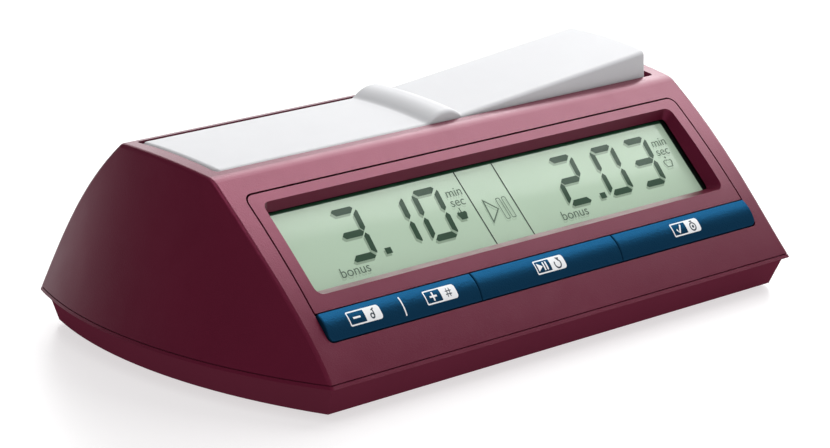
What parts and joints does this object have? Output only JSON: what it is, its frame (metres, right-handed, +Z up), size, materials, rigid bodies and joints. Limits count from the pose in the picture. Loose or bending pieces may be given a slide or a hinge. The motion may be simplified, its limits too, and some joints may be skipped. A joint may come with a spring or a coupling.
{
  "type": "chess clock",
  "caption": "Digital two-player chess clock: wedge-shaped housing, wide sloping display, push buttons below it and one long rocker lever on top.",
  "frame": {"origin": "on the surface it stands on, under the middle of the housing", "axes": "+X along the length, right as the players see the display; the display front faces -Y; +Z up"},
  "size_m": [0.24, 0.1186, 0.0691],
  "materials": {
    "housing_burgundy": "satin moulded plastic, very fine texture",
    "lever_white": "satin white moulded plastic",
    "button_blue": "satin dark blue plastic with white print",
    "window_clear": "clear acrylic",
    "display_glass": "reflective liquid-crystal glass, pale grey green",
    "diffuser_white": "white diffusing plastic",
    "connector_rubber": "layered conductive elastomer",
    "board_green": "glass-fibre board with green solder mask",
    "chip_black": "moulded epoxy",
    "capacitor_sleeve": "shrink sleeve",
    "switch_black": "moulded nylon",
    "steel": "plain steel",
    "nickel_plate": "nickel plated",
    "magnet_plate": "nickel plated magnet",
    "cell_jacket": "printed metal jacket",
    "foot_rubber": "soft rubber",
    "pad_rubber": "soft rubber"
  },
  "bodies": {
    "housing": {"upper_shell": "housing_burgundy", "base_shell": "housing_burgundy", "display_bezel": "housing_burgundy", "display_window": "window_clear", "display_cell": "display_glass", "display_backing": "diffuser_white", "display_connectors": "connector_rubber", "main_board": "board_green", "clock_controller": "chip_black", "timing_crystal": "steel", "board_capacitors": "capacitor_sleeve", "sound_buzzer": "switch_black", "key_switches": "switch_black", "board_screws": "steel", "button_pivot_pin": "steel", "rocker_pivot_pin": "steel", "case_screws": "steel", "magnet_plates": "steel", "lever_stop_pads": "pad_rubber", "lever_sensors": "switch_black", "battery_cells": "cell_jacket", "battery_contacts": "nickel_plate", "battery_springs": "nickel_plate", "rubber_feet": "foot_rubber", "power_switch_body": "switch_black"},
    "lever": {"rocker_lever": "lever_white", "lever_magnets": "magnet_plate"},
    "minus_plus_cap": {"minus_plus_button": "button_blue"},
    "play_pause_cap": {"play_pause_button": "button_blue"},
    "confirm_cap": {"confirm_button": "button_blue"},
    "battery_door": {"battery_cover": "housing_burgundy"},
    "power_slider": {"power_switch_slider": "switch_black"}
  },
  "joints": [
    {"name": "lever_rock", "type": "hinge", "parent": "housing", "child": "lever", "pos_m": [0, 0.011, 0.03], "axis": [0, 1, 0], "range_deg": [0, 5]},
    {"name": "minus_plus_rock", "type": "hinge", "parent": "housing", "child": "minus_plus_cap", "pos_m": [-0.0649, -0.0458, 0.02148], "axis": [0, 0.7281, 0.6855], "range_deg": [-2.5, 2.5], "stiffness_Nm_per_rad": 0.37},
    {"name": "play_pause_press", "type": "slide", "parent": "housing", "child": "play_pause_cap", "axis": [0, 0.6855, -0.7281], "range_m": [0, 0.0008], "stiffness_N_per_m": 1500},
    {"name": "confirm_press", "type": "slide", "parent": "housing", "child": "confirm_cap", "axis": [0, 0.6855, -0.7281], "range_m": [0, 0.0008], "stiffness_N_per_m": 1500},
    {"name": "battery_door_open", "type": "hinge", "parent": "housing", "child": "battery_door", "pos_m": [0, 0.0012, 0.0019], "axis": [-1, 0, 0], "range_deg": [0, 75]},
    {"name": "power_slide", "type": "slide", "parent": "housing", "child": "power_slider", "axis": [1, 0, 0], "range_m": [0, 0.003]}
  ]
}
